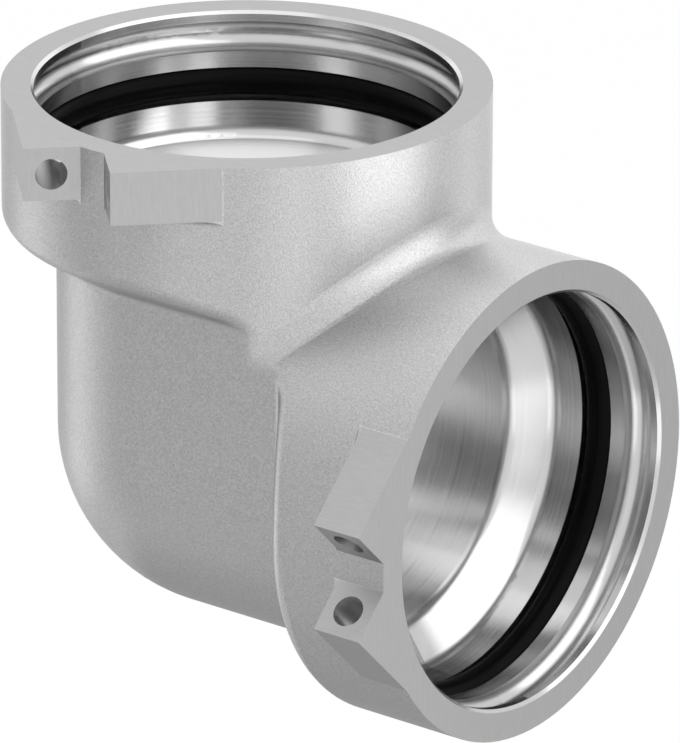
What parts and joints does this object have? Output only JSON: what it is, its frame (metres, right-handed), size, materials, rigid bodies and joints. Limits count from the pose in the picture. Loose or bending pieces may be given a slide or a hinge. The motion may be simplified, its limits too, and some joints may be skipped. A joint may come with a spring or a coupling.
{
  "type": "elbow fitting",
  "caption": "Right-angle pipe elbow cast in one piece, with two equal machined sockets, a rubber seal ring in each, and lugs with channels for locking strips.",
  "frame": {"origin": "the point where the axes of the two ports cross, which is the fitting's centre for setting out pipework", "axes": "+Z out of the upper port along its axis, +X out of the side port along its axis, and the four strip lugs on the -Y side"},
  "size_m": [0.0938, 0.0821, 0.0938],
  "materials": {
    "cast_metal": "tin-plated casting, blasted to a fine satin grain outside, turned bright in the sockets and flat on the port faces",
    "seal_rubber": "smooth black rubber with a soft gloss"
  },
  "bodies": {
    "root": {"elbow_body": "cast_metal", "upper_seal_ring": "seal_rubber", "side_seal_ring": "seal_rubber"}
  },
  "joints": []
}
